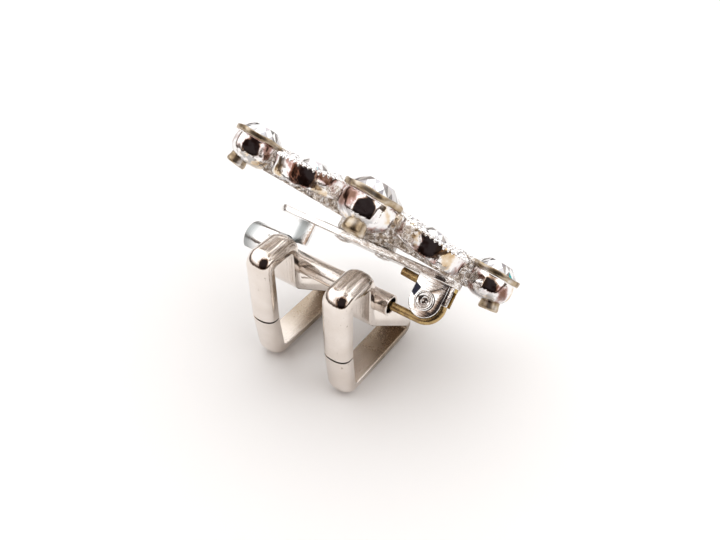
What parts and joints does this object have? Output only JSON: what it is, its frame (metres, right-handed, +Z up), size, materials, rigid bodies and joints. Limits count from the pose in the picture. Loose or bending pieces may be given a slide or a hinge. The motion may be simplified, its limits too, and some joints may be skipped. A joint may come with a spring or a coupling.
{
  "type": "flower brooch on a two-loop cord adapter",
  "caption": "Silver-coloured flower brooch set with clear stones, its pin run through the tube of a plain two-loop cord adapter that stands on a flat surface.",
  "frame": {"origin": "on the floor, midway between the two loops of the adapter, under the middle of the adapter's depth", "axes": "+X along the tube and the pin, from the catch to the hinge; +Y from the loops' front bars to their heels; +Z up from the floor the adapter stands on"},
  "size_m": [0.0317, 0.025, 0.0289],
  "materials": {
    "nickel": "satin nickel plate",
    "rhodium": "bright rhodium plate",
    "bronze": "worn brass wire",
    "crystal": "cut glass"
  },
  "bodies": {
    "adapter": {"adapter": "nickel"},
    "pin": {"pin_stem": "bronze"},
    "brooch": {"hinge_rivet": "nickel", "pin_bar": "rhodium", "setting": "rhodium", "stone_right": "crystal", "stone_far": "crystal", "stone_left": "crystal", "stone_near": "crystal", "stone_centre": "crystal", "inner_stones": "crystal", "ring_stones": "crystal", "spoke_stones": "crystal", "petal_stones": "crystal"}
  },
  "joints": [
    {"name": "adapter_swing", "type": "hinge", "parent": "adapter", "child": "pin", "pos_m": [0, -0.0006, 0.0105], "axis": [1, 0, 0], "range_deg": [-30, 40]},
    {"name": "pin_open", "type": "hinge", "parent": "pin", "child": "brooch", "pos_m": [0.0112, 0.00081, 0.01178], "axis": [0, 0.673, -0.7396], "range_deg": [0, 80]}
  ]
}
